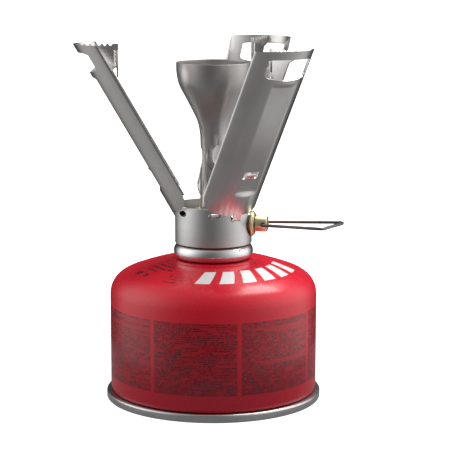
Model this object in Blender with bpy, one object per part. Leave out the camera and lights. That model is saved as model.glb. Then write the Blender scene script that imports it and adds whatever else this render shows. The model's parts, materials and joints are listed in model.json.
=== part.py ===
"""Canister stove: a threaded gas canister with a folding screw-on burner.

Metres, +Z up. The origin is the centre of the canister's base on the ground,
and Z is the common axis of the canister, the stove and its burner.
Azimuths are degrees anticlockwise from +X, seen from above.
"""

import math

import bmesh
import bpy
from mathutils import Matrix, Vector

MM = 0.001
GAP = 0.3  # clearance between pieces that touch on the real object

# Canister
CAN_R = 43.44
CAN_WALL = 0.5
CAN_SIDE_TOP = 43.9
CAN_NECK_Z = 59.2
CAN_OPENING_R = 12.6
RIM_R = 45.24
RIM_H = 3.6
BEAD_R = 16.7
BEAD_LOW, BEAD_TOP = 59.5, 65.7
BEAD_HALF_WIDTH = 2.2
COLLAR_R = 5.55
COLLAR_BORE_R = 4.2
COLLAR_TOP = 69.5
CAN_SEGMENTS = 40

# Stove base cup
CUP_R = 16.15
CUP_WALL = 0.9
CUP_LOW, CUP_TOP = 66.1, 82.4
CUP_FLOOR = 66.4

# Control valve, lying along an axis of its own
VALVE_AZ = -11.0
VALVE_Z = 74.4
BLOCK_R = 8.5
BLOCK_TOP = 80.0
HEAD_R = 3.375
HEAD_NEAR, HEAD_FAR = 17.95, 23.0
CROSS_HOLE_AT = 21.5
WIRE_R = 0.7

# Burner
HORN_WALL = 0.5
HORN_LOW = 80.3
HORN_TOP = 141.4
HEAD_RIM_Z = 137.4
SLOT_LOW, SLOT_TOP = 96.8, 107.4
SLOT_HALF_WIDTH = 3.83
SLOT_AZIMUTHS = (43.7, 163.7, 283.7)

# Pot supports
SUPPORT_AZIMUTHS = {"a": 184.8, "b": 304.8, "c": 64.8}
OPEN_TILT = 30.0
HINGE_R, HINGE_Z = 13.4, 79.6
PIN_R = 1.0
KNUCKLE_R = 1.8
KNUCKLE_HALF = 2.0
SHELL_R = 17.1
SHELL_T = 0.6
SHELL_HALF_ANGLE = 56.3
LIP = 0.8
SHELL_LOW = 81.6
OPEN_TOP = 149.2  # height of the level top edge when the support is open
FACET_DEPTH = 1.1
FACET_LOW, FACET_HIGH = 93.6, 144.2
FACET_FADE = 2.6
WINDOW_LOW, WINDOW_HALF, TOP_BAR = 148.4, 10.0, 3.9
HEM_R, HEM_AT, HEM_LOW, HEM_TOP = 1.0, 40.15, 140.0, 146.6
PIN_OUT, PIN_IN = 11.75, 7.6  # how far a pin's domed and recessed ends reach
BLADE_T = 0.8
TOOTH_PITCH, TOOTH_DEPTH = 2.36, 0.85

for thing in list(bpy.data.objects):
    bpy.data.objects.remove(thing, do_unlink=True)
for mesh in list(bpy.data.meshes):
    bpy.data.meshes.remove(mesh)


# ---------------------------------------------------------------- materials
def material(name, colour, roughness, metallic):
    made = bpy.data.materials.get(name) or bpy.data.materials.new(name)
    made.use_nodes = True
    shader = made.node_tree.nodes["Principled BSDF"]
    shader.inputs["Base Color"].default_value = (*colour, 1.0)
    shader.inputs["Roughness"].default_value = roughness
    shader.inputs["Metallic"].default_value = metallic
    return made


RED = ("red_enamel", (0.55, 0.012, 0.025), 0.3, 0.0)
STEEL = ("steel", (0.45, 0.44, 0.43), 0.32, 1.0)
TIN = ("tinned_steel", (0.62, 0.61, 0.6), 0.2, 1.0)
SATIN = ("satin_alloy", (0.68, 0.68, 0.68), 0.35, 1.0)
BRASS = ("brass", (0.62, 0.48, 0.2), 0.3, 1.0)
RUBBER = ("rubber", (0.02, 0.02, 0.02), 0.7, 0.0)
PLASTIC = ("plastic", (0.75, 0.73, 0.68), 0.5, 0.0)
DARK = ("dark_steel", (0.22, 0.21, 0.2), 0.25, 1.0)


# ------------------------------------------------------------------ helpers
def finish(name, bm, look, matrix=None, sharp=35.0):
    """Turn a bmesh in millimetres into an object placed by its matrix."""
    bmesh.ops.remove_doubles(bm, verts=bm.verts, dist=1e-5)
    bmesh.ops.recalc_face_normals(bm, faces=bm.faces)
    bmesh.ops.scale(bm, vec=(MM, MM, MM), verts=bm.verts)
    mesh = bpy.data.meshes.new(name)
    bm.to_mesh(mesh)
    bm.free()
    mesh.shade_smooth()
    mesh.set_sharp_from_angle(angle=math.radians(sharp))
    obj = bpy.data.objects.new(name, mesh)
    if look:
        tag, colour, roughness, metallic = look
        mesh.materials.append(material(f"{name}_{tag}", colour, roughness, metallic))
    bpy.context.scene.collection.objects.link(obj)
    if matrix is not None:
        obj.matrix_world = matrix
    return obj


def turned(name, profile, look, segments=32, closed=True, matrix=None, sharp=35.0):
    """Spin a profile of (radius, height) points once round Z."""
    bm = bmesh.new()
    verts = [bm.verts.new((r, 0.0, z)) for r, z in profile]
    edges = [bm.edges.new(pair) for pair in zip(verts, verts[1:])]
    if closed:
        edges.append(bm.edges.new((verts[-1], verts[0])))
    bmesh.ops.spin(
        bm,
        geom=verts + edges,
        cent=(0, 0, 0),
        axis=(0, 0, 1),
        angle=2 * math.pi,
        steps=segments,
        use_merge=True,
    )
    return finish(name, bm, look, matrix, sharp)


def prism(name, outline, low, high, look, plane="XZ", matrix=None, sharp=35.0):
    """Extrude a closed outline of 2-D points between two depths."""
    order = {"XZ": lambda a, b, c: (a, c, b), "YZ": lambda a, b, c: (c, a, b)}[plane]
    bm = bmesh.new()
    face = bm.faces.new([bm.verts.new(order(a, b, low)) for a, b in outline])
    moved = bmesh.ops.extrude_face_region(bm, geom=[face])
    verts = [v for v in moved["geom"] if isinstance(v, bmesh.types.BMVert)]
    bmesh.ops.translate(bm, vec=order(0, 0, high - low), verts=verts)
    return finish(name, bm, look, matrix, sharp)


def rod(name, radius, low, high, look, sides=16, matrix=None):
    return turned(
        name,
        [(0, low), (radius, low), (radius, high), (0, high)],
        look,
        sides,
        closed=False,
        matrix=matrix,
    )


def boolean(target, tool, operation="DIFFERENCE"):
    """Cut or join with a helper that stays out of the render."""
    tool.hide_render = True
    tool.display_type = "WIRE"
    change = target.modifiers.new(f"{operation.lower()}_{tool.name}", "BOOLEAN")
    change.operation = operation
    change.solver = "EXACT"
    change.object = tool
    return target


def arc(cx, cz, radius, start, stop, steps):
    """Points of an arc, both ends included, angles in degrees."""
    turns = [math.radians(start + (stop - start) * i / steps) for i in range(steps + 1)]
    return [(cx + radius * math.cos(a), cz + radius * math.sin(a)) for a in turns]


def along_valve():
    """Local Z runs outwards along the control valve's axis, local X stays level."""
    outward = Vector(
        (math.cos(math.radians(VALVE_AZ)), math.sin(math.radians(VALVE_AZ)), 0)
    )
    up = Vector((0, 0, 1))
    across = up.cross(outward)
    basis = Matrix((across, up, outward)).transposed().to_4x4()
    basis.translation = Vector((0, 0, VALVE_Z * MM))
    return basis


def at_hinge(azimuth, tilt=0.0):
    """Hinge frame of a support: X outwards, Y along the pin, Z up the leg."""
    turn = Matrix.Rotation(math.radians(azimuth), 4, "Z")
    place = Matrix.Translation((HINGE_R * MM, 0, HINGE_Z * MM))
    return turn @ place @ Matrix.Rotation(math.radians(tilt), 4, "Y")


def open_to_leg(u, z):
    """A point of the open support, as radius and height, in its hinge frame."""
    t = math.radians(OPEN_TILT)
    du, dz = u - HINGE_R, z - HINGE_Z
    return (
        du * math.cos(t) - dz * math.sin(t),
        du * math.sin(t) + dz * math.cos(t),
    )


def leg_top(x):
    """Height in the hinge frame of the level top edge, at a leg-frame x."""
    t = math.radians(OPEN_TILT)
    return ((OPEN_TOP - HINGE_Z) + x * math.sin(t)) / math.cos(t)


# ----------------------------------------------------------------- canister
def canister():
    shoulder = [
        (CAN_R, CAN_SIDE_TOP),
        (43.21, 46.6),
        (42.34, 49.05),
        (40.63, 51.45),
        (37.65, 53.6),
        (33.0, 55.4),
        (30.0, 56.4),
        (26.5, 57.5),
        (23.0, 58.3),
        (20.2, 58.7),
        (18.4, 58.85),
        (17.1, CAN_NECK_Z),
        (CAN_OPENING_R, CAN_NECK_Z),
    ]
    inside = [
        (CAN_OPENING_R, CAN_NECK_Z - 0.6),
        (17.2, 58.5),
        (20.2, 58.1),
        (26.2, 56.95),
        (32.8, 54.85),
        (37.3, 53.0),
        (41.0, 50.1),
        (42.85, CAN_SIDE_TOP),
        (CAN_R - CAN_WALL, 6.0),
        (42.5, RIM_H + GAP),
    ]
    outside = [(43.05, RIM_H + GAP), (CAN_R, 5.2)]
    turned("canister_body", outside + shoulder + inside, RED, CAN_SEGMENTS)

    rim = [
        (42.6, 0.0),
        (44.5, 0.0),
        (RIM_R, 0.9),
        (RIM_R, 2.7),
        (44.5, RIM_H),
        (42.5, RIM_H),
        (41.6, 3.2),
    ]
    dome_top = [(38.0, 6.4), (27.0, 10.8), (0, 13.1)]
    dome_low = [(0, 12.5), (27.0, 10.2), (38.2, 5.3), (41.6, 1.2)]
    turned("canister_base", dome_low + rim + dome_top, STEEL, CAN_SEGMENTS, closed=False)

    mid = (BEAD_LOW + BEAD_TOP) / 2
    half = (BEAD_TOP - BEAD_LOW) / 2
    centre = BEAD_R - BEAD_HALF_WIDTH
    bead = [
        (centre + BEAD_HALF_WIDTH * x, mid + half * z)
        for x, z in arc(0, 0, 1.0, -80, 100, 7)
    ]
    bead += [(12.6, 64.0)]
    dish = [
        (11.2, 60.6),
        (10.6, 60.2),
        (6.4, 60.2),
        (COLLAR_R, 61.0),
        (COLLAR_R, 69.1),
        (5.2, COLLAR_TOP),
        (COLLAR_BORE_R, COLLAR_TOP),
        (COLLAR_BORE_R, 59.6),
        (11.2, 59.6),
        (12.0, 60.3),
    ]
    turned("valve_cup", bead + dish, TIN, 28)

    turned(
        "canister_valve_gasket",
        [(1.9, 58.6), (3.9, 58.6), (3.9, 59.8), (1.9, 59.8)],
        RUBBER,
        12,
    )
    turned(
        "canister_valve_housing",
        [
            (0.9, 49.6),
            (4.2, 49.6),
            (5.2, 51.0),
            (5.2, 57.4),
            (6.6, 58.2),
            (6.6, 59.3),
            (4.2, 59.3),
            (4.2, 58.3),
            (3.9, 51.2),
            (0.9, 50.6),
        ],
        PLASTIC,
        16,
    )
    # The spring is a coil of round wire, its radius clear of the stem's foot.
    path = []
    turns, per_turn = 3, 8
    for i in range(turns * per_turn + 1):
        a = 2 * math.pi * i / per_turn
        path.append((2.6 * math.cos(a), 2.6 * math.sin(a), 51.5 + 2.8 * i / (turns * per_turn)))
    wire_curve("canister_valve_spring", path, 0.25, DARK, resolution=1)
    turned(
        "canister_valve_stem",
        [(0, 52.2), (1.6, 52.2), (1.6, 55.0), (3.3, 55.0), (3.3, 57.0), (1.5, 57.0), (1.5, 66.2), (1.1, 66.6), (0, 66.6)],
        BRASS,
        12,
        closed=False,
    )


def wire_curve(name, points, radius, look, resolution=2, matrix=None, cyclic=False):
    """Round wire along a polyline, in millimetres, with filled ends."""
    curve = bpy.data.curves.new(name, "CURVE")
    curve.dimensions = "3D"
    curve.bevel_depth = radius * MM
    curve.bevel_resolution = resolution
    curve.use_fill_caps = not cyclic
    spline = curve.splines.new("POLY")
    spline.points.add(len(points) - 1)
    for slot, (x, y, z) in zip(spline.points, points):
        slot.co = (x * MM, y * MM, z * MM, 1.0)
    spline.use_cyclic_u = cyclic
    spline.use_smooth = True
    tag, colour, roughness, metallic = look
    curve.materials.append(material(f"{name}_{tag}", colour, roughness, metallic))
    obj = bpy.data.objects.new(name, curve)
    bpy.context.scene.collection.objects.link(obj)
    if matrix is not None:
        obj.matrix_world = matrix
    return obj


# --------------------------------------------------------------- stove base
def stove_base():
    inner = CUP_R - CUP_WALL
    profile = [
        (CUP_R - 0.25, CUP_LOW),
        (CUP_R, CUP_LOW + 0.35),
        (CUP_R, CUP_TOP - 0.4),
        (CUP_R - 0.3, CUP_TOP),
        (inner + 0.2, CUP_TOP),
        (inner, CUP_TOP - 0.3),
        (inner, CUP_FLOOR + 0.8),
        (BLOCK_R + GAP, CUP_FLOOR + 0.8),
        (BLOCK_R + GAP, CUP_FLOOR),
        (inner, CUP_FLOOR),
        (inner, CUP_LOW),
    ]
    cup = turned("stove_base", profile, SATIN, CAN_SEGMENTS)
    for key, azimuth in SUPPORT_AZIMUTHS.items():
        notch = prism(
            f"notch_cutter_{key}",
            [(-0.6, -2.6), (4.0, -2.6), (4.0, 4.0), (-0.6, 4.0)],
            -KNUCKLE_HALF - 0.4,
            KNUCKLE_HALF + 0.4,
            None,
            matrix=at_hinge(azimuth),
        )
        boolean(cup, notch)
        hole = rod(
            f"pin_hole_cutter_{key}",
            PIN_R + GAP,
            -11.0,
            11.0,
            None,
            12,
            matrix=at_hinge(azimuth) @ Matrix.Rotation(math.radians(-90), 4, "X"),
        )
        boolean(cup, hole)
    gland_hole = rod("gland_hole_cutter", 4.2, 12.0, 18.0, None, 20, matrix=along_valve())
    boolean(cup, gland_hole)

    block = turned(
        "valve_body",
        [
            (5.85, 60.8),
            (8.1, 60.8),
            (BLOCK_R, 61.2),
            (BLOCK_R, BLOCK_TOP - 0.4),
            (BLOCK_R - 0.4, BLOCK_TOP),
            (4.7, BLOCK_TOP),
            (4.7, 85.6),
            (4.4, 86.0),
            (2.8, 86.0),
            (2.8, 81.0),
            (1.0, 81.0),
            (1.0, 72.2),
            (5.85, 72.2),
        ],
        BRASS,
        24,
    )
    shaft_bore = turned(
        "shaft_bore_cutter",
        [(0, 0.0), (0.6, 0.0), (0.6, 3.0), (1.8, 4.4), (1.8, 6.0), (4.0, 6.0), (4.0, 12.0), (0, 12.0)],
        None,
        16,
        closed=False,
        matrix=along_valve(),
    )
    boolean(block, shaft_bore)

    turned(
        "depressor_pin",
        [(0, 66.9), (0.7, 66.9), (0.8, 67.1), (0.8, 71.2), (5.4, 71.2), (5.4, 71.9), (0, 71.9)],
        BRASS,
        20,
        closed=False,
    )
    turned("connector_seal", arc(4.65, 70.35, 0.5, 0, 300, 5), RUBBER, 20)
    turned("jet_filter", [(0, 81.3), (2.4, 81.3), (2.4, 82.2), (0, 82.2)], STEEL, 16, closed=False)
    turned(
        "jet",
        [(0.3, 82.5), (2.5, 82.5), (2.5, 86.3), (3.0, 86.3), (3.0, 87.6), (1.7, 87.9), (1.5, 89.2), (0.3, 89.2)],
        BRASS,
        12,
    )


def control_valve():
    frame = along_valve()
    gland = turned(
        "gland",
        [
            (1.75, 6.3),
            (3.7, 6.3),
            (3.7, 16.45),
            (5.35, 16.45),
            (5.35, 17.0),
            (4.7, 17.65),
            (1.75, 17.65),
            (1.75, 14.0),
            (2.75, 14.0),
            (2.75, 11.6),
            (1.75, 11.6),
        ],
        BRASS,
        20,
        matrix=frame,
    )
    turned("spindle_seal", arc(2.05, 12.8, 0.35, 0, 300, 5), RUBBER, 16, matrix=frame)
    head = turned(
        "control_spindle",
        [
            (0, 3.4),
            (0.3, 3.4),
            (1.3, 5.2),
            (1.3, HEAD_NEAR),
            (HEAD_R - 0.2, HEAD_NEAR),
            (HEAD_R, HEAD_NEAR + 0.2),
            (HEAD_R, HEAD_FAR - 0.35),
            (HEAD_R - 0.35, HEAD_FAR),
            (0, HEAD_FAR),
        ],
        BRASS,
        24,
        closed=False,
        matrix=frame,
    )
    hole = rod(
        "cross_hole_cutter",
        WIRE_R + GAP,
        -6,
        6,
        None,
        12,
        matrix=frame
        @ Matrix.Translation((0, 0, CROSS_HOLE_AT * MM))
        @ Matrix.Rotation(math.radians(90), 4, "Y"),
    )
    boolean(head, hole)

    # Wire handle: its two ends lie in the cross hole, its loop is a slightly
    # slanted bar between two rounded corners.
    corners = [
        (0.35, 0.0, 0.0),
        (4.45, 0.0, 0.9),
        (9.6, 33.4, 2.2),
        (-8.6, 25.7, 2.2),
        (-4.45, 0.0, 0.9),
        (-0.35, 0.0, 0.0),
    ]
    path = []
    for i, (x, s, radius) in enumerate(corners):
        here = Vector((x, 0, s))
        if radius == 0:
            path.append(here)
            continue
        before = Vector((corners[i - 1][0], 0, corners[i - 1][1])) - here
        after = Vector((corners[i + 1][0], 0, corners[i + 1][1])) - here
        before.normalize()
        after.normalize()
        half = before.angle(after) / 2
        back = radius / math.tan(half)
        start, stop = here + before * back, here + after * back
        centre = here + (before + after).normalized() * (radius / math.sin(half))
        steps = 4
        a, b = start - centre, stop - centre
        whole = a.angle(b)
        for k in range(steps + 1):
            w = k / steps
            point = (a * math.sin((1 - w) * whole) + b * math.sin(w * whole)) / math.sin(whole)
            path.append(centre + point)
    wire_curve(
        "control_handle",
        [tuple(p) for p in path],
        WIRE_R,
        DARK,
        resolution=2,
        matrix=frame @ Matrix.Translation((0, 0, CROSS_HOLE_AT * MM)),
    )


# ------------------------------------------------------------------- burner
def burner():
    outside = [
        (5.52, HORN_LOW),
        (5.42, 104.0),
        (5.53, 110.7),
        (6.31, 115.7),
        (8.34, 120.7),
        (12.26, 128.2),
        (13.7, 130.65),
        (14.64, 133.1),
        (15.45, 138.1),
        (15.44, HORN_TOP),
    ]
    w = HORN_WALL
    inside = [
        (15.44 - w, HORN_TOP),
        (15.45 - w, 138.1),
        (14.64 - w, 133.3),
        (13.7 - w - 0.1, 131.0),
        (8.34 - w - 0.1, 121.1),
        (6.31 - w, 115.9),
        (5.53 - w, 110.8),
        (5.02, HORN_LOW),
    ]
    horn = turned("burner_horn", outside + inside, STEEL, 28)
    for n, azimuth in enumerate(SLOT_AZIMUTHS):
        r = SLOT_HALF_WIDTH
        outline = arc(0, SLOT_LOW + r, r, 180, 360, 6) + arc(0, SLOT_TOP - r, r, 0, 180, 6)
        slot = prism(
            f"air_slot_cutter_{n}",
            outline,
            1.5,
            8.0,
            None,
            plane="YZ",
            matrix=Matrix.Rotation(math.radians(azimuth), 4, "Z"),
        )
        boolean(horn, slot)

    head = turned(
        "burner_head",
        [
            (0, 133.0),
            (6.0, 133.5),
            (14.4, HEAD_RIM_Z),
            (13.9, HEAD_RIM_Z + 0.35),
            (5.9, 134.2),
            (0, 133.7),
        ],
        STEEL,
        24,
        closed=False,
    )
    for ring, (radius, count) in enumerate(((3.0, 4), (8.4, 8))):
        for k in range(count):
            a = 2 * math.pi * (k + 0.5 * ring) / count
            port = rod(
                f"port_cutter_{ring}_{k}",
                0.9,
                131.0,
                139.0,
                None,
                6,
                matrix=Matrix.Translation(
                    (radius * math.cos(a) * MM, radius * math.sin(a) * MM, 0)
                ),
            )
            boolean(head, port)


# ------------------------------------------------------------- pot supports
def support(key, azimuth):
    """One leg: a part-cylinder sheet with lips, a flat facet down its back, a
    window under its top bar, a lanced tongue, and a knuckle round its pin."""
    frame = at_hinge(azimuth, OPEN_TILT)
    turns = [20.65, 10.3, 0.0]
    spread = [SHELL_HALF_ANGLE, 47.5, 38.6, 29.6] + turns
    angles = [-a for a in spread] + [a for a in reversed(spread[:-1])]

    def section(radius, facet, side):
        """Points across the leg at one height; side is the lip's own offset."""
        points = []
        edge = SHELL_R * math.sin(math.radians(SHELL_HALF_ANGLE)) - side
        last = math.degrees(math.asin(edge / radius))
        lip_x = SHELL_R * math.cos(math.radians(SHELL_HALF_ANGLE)) - LIP
        points.append((lip_x, -edge))
        for a in angles:
            a = max(-last, min(last, a))
            x, y = radius * math.cos(math.radians(a)), radius * math.sin(math.radians(a))
            if facet and abs(a) < 20.7:
                x = SHELL_R - FACET_DEPTH - side
            points.append((x, y))
        points.append((lip_x, edge))
        return points

    low = SHELL_LOW - HINGE_Z
    stations = [
        (low, 0),
        (FACET_LOW - FACET_FADE - HINGE_Z, 0),
        (FACET_LOW - HINGE_Z, 1),
        (FACET_HIGH - HINGE_Z, 1),
        (FACET_HIGH + FACET_FADE - HINGE_Z, 0),
        (None, 0),
    ]
    bm = bmesh.new()
    loops = []
    for z, facet in stations:
        outer = section(SHELL_R, facet, 0.0)
        inner = section(SHELL_R - SHELL_T, facet, SHELL_T)
        loop = []
        for x, y in outer + inner[::-1]:
            x -= HINGE_R
            loop.append(bm.verts.new((x, y, leg_top(x) if z is None else z)))
        loops.append(loop)
    count = len(loops[0])
    for lower, upper in zip(loops, loops[1:]):
        for i in range(count):
            j = (i + 1) % count
            bm.faces.new((lower[i], lower[j], upper[j], upper[i]))
    half = count // 2
    for loop in (loops[0], loops[-1]):
        for i in range(half - 1):
            bm.faces.new((loop[i], loop[i + 1], loop[count - 2 - i], loop[count - 1 - i]))
    leg = finish(f"pot_support_{key}", bm, STEEL, frame, sharp=25.0)

    # Rounded lower corners, with the lips starting a little way up.
    trim = [
        (-9.0, -2.0),
        (2.4, -2.0),
        (2.4, 1.0),
        (1.0, 1.95),
        (-0.2, 2.1),
        (-1.0, 2.4),
        (-1.6, 2.9),
        (-2.3, 3.6),
        (-3.2, 5.0),
        (-3.7, 6.4),
        (-3.85, 7.4),
        (-9.0, 7.4),
    ]
    for side in (-1, 1):
        ends = sorted((side * 7.9, side * 20.0))
        cutter = prism(f"corner_cutter_{key}_{'l' if side < 0 else 'r'}", trim, ends[0], ends[1], None, matrix=frame)
        boolean(leg, cutter)

    # Window: level arc below, upper edge parallel to the top of the leg.
    bottom = WINDOW_LOW - HINGE_Z
    radius, tight = 1.8, 0.8

    def upper(y):
        return leg_top(math.sqrt(SHELL_R**2 - y * y) - HINGE_R) - TOP_BAR

    w = WINDOW_HALF
    corner_top = upper(w)
    outline = arc(-w + radius, bottom + radius, radius, 180, 270, 4)
    outline += arc(w - radius, bottom + radius, radius, 270, 360, 4)
    outline += arc(w - tight, corner_top - tight + 0.1, tight, 0, 70, 3)
    outline += [(y, upper(y)) for y in (7.5, 5.0, 2.5, 0.0, -2.5, -5.0, -7.5)]
    outline += arc(-w + tight, corner_top - tight + 0.1, tight, 110, 180, 3)
    window = prism(f"window_cutter_{key}", outline, -2.0, 6.0, None, plane="YZ", matrix=frame)
    boolean(leg, window)

    # Lanced slot, and its tongue bent out of the facet.
    z = 101.5 - HINGE_Z
    slot = prism(
        f"lance_cutter_{key}",
        [(-3.5, z - 1.6), (3.5, z - 1.6), (3.5, z + 1.6), (-3.5, z + 1.6)],
        0.5,
        4.0,
        None,
        plane="YZ",
        matrix=frame,
    )
    boolean(leg, slot)
    back = SHELL_R - FACET_DEPTH - HINGE_R
    tongue = prism(
        f"tongue_{key}",
        [
            (back - SHELL_T + 0.05, z - 2.4),
            (back - 0.05, z - 2.4),
            (back - 0.05, z - 1.5),
            (back + 0.45, z + 0.4),
            (back + 0.05, z + 0.6),
            (back - SHELL_T + 0.05, z - 1.3),
        ],
        -2.2,
        2.2,
        None,
        matrix=frame,
    )
    boolean(leg, tongue, "UNION")

    # Knuckle: a strap from the foot of the web, curled round the pin.
    strap_end = SHELL_R - HINGE_R - 0.05
    outline = [(strap_end, 2.6), (strap_end, -0.35), (strap_end - 0.3, -0.55)]
    outline += arc(0, 0, KNUCKLE_R, -20, -320, 14)
    outline += [(SHELL_R - SHELL_T - HINGE_R - 0.3, 0.75), (SHELL_R - SHELL_T - HINGE_R + 0.05, 1.0), (SHELL_R - SHELL_T - HINGE_R + 0.05, 2.6)]
    knuckle = prism(f"knuckle_{key}", outline, -KNUCKLE_HALF, KNUCKLE_HALF, None, matrix=frame)
    boolean(leg, knuckle, "UNION")
    bore = rod(
        f"knuckle_bore_cutter_{key}",
        PIN_R + GAP,
        -4.0,
        4.0,
        None,
        12,
        matrix=frame @ Matrix.Rotation(math.radians(-90), 4, "X"),
    )
    boolean(leg, bore)

    # Serrated blade in the leg's middle plane.
    inner_u = 39.2
    points = [open_to_leg(inner_u, OPEN_TOP - 0.05)]
    u = 41.4
    top = OPEN_TOP - 0.05
    points.append(open_to_leg(u, top))
    # The teeth: a narrow crest, then a round-bottomed gap.
    web = SHELL_R - SHELL_T - HINGE_R - GAP
    while True:
        gap = [
            (u + 0.35, top - 0.6),
            (u + 0.75, top - TOOTH_DEPTH),
            (u + 1.15, top - TOOTH_DEPTH),
            (u + 1.55, top - 0.6),
            (u + 1.9, top),
        ]
        crest_end = u + TOOTH_PITCH
        if open_to_leg(crest_end, top)[0] > web - 0.4:
            break
        points += [open_to_leg(a, b) for a, b in gap]
        points.append(open_to_leg(crest_end, top))
        u = crest_end
    # Outer edge: behind the bar, then clear of the window down to the foot.
    points.append((web, leg_top(web) - 0.05))
    points.append((web, leg_top(web) - 4.0))
    points.append((0.7, leg_top(0.7) - 5.4))
    points.append((0.6, 66.6))
    points.append(open_to_leg(44.9, 134.7))
    points.append(open_to_leg(40.4, 139.5))
    points.append(open_to_leg(39.95, 139.2))
    points.append(open_to_leg(39.9, 135.5))
    points.append(open_to_leg(inner_u, 135.5))
    blade = prism(f"support_blade_{key}", points, -BLADE_T / 2, BLADE_T / 2, STEEL, matrix=frame)
    top_z = leg_top(web)
    tab = prism(
        f"blade_tab_{key}",
        [(web - 0.6, top_z - 3.6), (web, top_z - 3.6), (web, top_z - 1.1), (web - 0.6, top_z - 1.45)],
        0.1,
        2.6,
        None,
        matrix=frame,
    )
    boolean(blade, tab, "UNION")
    # A rolled hem stiffens the blade's inner edge, upright when the leg is open.
    hem = rod(
        f"blade_hem_{key}",
        HEM_R,
        HEM_LOW,
        HEM_TOP,
        None,
        12,
        matrix=Matrix.Rotation(math.radians(azimuth), 4, "Z")
        @ Matrix.Translation((HEM_AT * MM, 0, 0)),
    )
    boolean(blade, hem, "UNION")

    # Pin: a chord through the cup's wall, one end domed and proud, one recessed.
    turned(
        f"hinge_pin_{key}",
        [
            (0, -PIN_OUT),
            (0.55, -PIN_OUT + 0.15),
            (0.9, -PIN_OUT + 0.5),
            (PIN_R, -PIN_OUT + 1.0),
            (PIN_R, PIN_IN - 0.2),
            (0.8, PIN_IN),
            (0, PIN_IN),
        ],
        STEEL,
        12,
        closed=False,
        matrix=at_hinge(azimuth) @ Matrix.Rotation(math.radians(-90), 4, "X"),
    )


canister()
stove_base()
control_valve()
burner()
for key, azimuth in SUPPORT_AZIMUTHS.items():
    support(key, azimuth)
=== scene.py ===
"""Canister stove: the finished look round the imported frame."""

import json
import math

import bmesh
import bpy
from mathutils import Matrix, Vector

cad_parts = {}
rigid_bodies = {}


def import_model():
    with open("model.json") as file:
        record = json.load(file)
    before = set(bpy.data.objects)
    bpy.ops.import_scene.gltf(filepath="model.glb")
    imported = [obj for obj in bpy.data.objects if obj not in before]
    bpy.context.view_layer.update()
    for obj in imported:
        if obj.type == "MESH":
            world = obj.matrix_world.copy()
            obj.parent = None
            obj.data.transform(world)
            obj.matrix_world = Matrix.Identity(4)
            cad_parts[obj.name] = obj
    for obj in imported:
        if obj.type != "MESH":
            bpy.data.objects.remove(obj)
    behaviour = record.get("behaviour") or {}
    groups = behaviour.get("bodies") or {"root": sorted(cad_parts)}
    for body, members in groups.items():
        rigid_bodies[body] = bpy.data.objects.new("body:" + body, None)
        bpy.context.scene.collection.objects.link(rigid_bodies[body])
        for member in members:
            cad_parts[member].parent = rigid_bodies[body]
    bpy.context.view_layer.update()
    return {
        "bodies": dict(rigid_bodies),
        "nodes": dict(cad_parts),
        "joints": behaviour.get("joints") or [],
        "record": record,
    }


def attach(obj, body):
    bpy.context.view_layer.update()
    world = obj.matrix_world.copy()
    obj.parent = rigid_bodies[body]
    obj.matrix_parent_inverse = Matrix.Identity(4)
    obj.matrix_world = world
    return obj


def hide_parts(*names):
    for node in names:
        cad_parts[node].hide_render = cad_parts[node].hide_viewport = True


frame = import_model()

MM = 0.001

# --------------------------------------------------------------- dimensions
CAN_R = 43.44
RIM_R, RIM_H = 45.24, 3.6
BEAD_R, BEAD_LOW, BEAD_TOP, BEAD_HALF_WIDTH = 16.7, 59.5, 65.7, 2.2
CUP_R, CUP_WALL, CUP_LOW, CUP_TOP, CUP_FLOOR = 16.15, 0.9, 66.1, 82.4, 66.4
VALVE_AZ, VALVE_Z = -11.0, 74.4
HEAD_R, HEAD_NEAR, HEAD_FAR, CROSS_HOLE_AT, WIRE_R = 3.375, 17.95, 23.0, 21.5, 0.7
HORN_LOW, HORN_TOP, HORN_WALL = 80.3, 141.4, 0.5
SLOT_LOW, SLOT_TOP, SLOT_HALF = 96.8, 107.4, 3.83
SLOT_AZIMUTHS = (43.7, 163.7, 283.7)
SUPPORTS = {"a": 184.8, "b": 304.8, "c": 64.8}
OPEN_TILT = 30.0
HINGE_R, HINGE_Z = 13.4, 79.6
PIN_R, GAP = 1.0, 0.3
SHELL_R, SHELL_T, SHELL_HALF, LIP, SHELL_LOW = 17.1, 0.6, 56.3, 0.8, 81.6
OPEN_TOP = 149.2
FACET_DEPTH, FACET_LOW, FACET_HIGH, FACET_FADE = 1.1, 93.6, 144.2, 2.6
WINDOW_LOW, WINDOW_HALF, TOP_BAR = 148.4, 10.0, 3.9
HEM_R, HEM_AT, HEM_LOW, HEM_TOP = 1.0, 40.15, 140.0, 146.6
PIN_OUT, PIN_IN = 11.75, 7.6
BLADE_T, TOOTH_PITCH, TOOTH_DEPTH = 0.8, 2.36, 0.85


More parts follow.
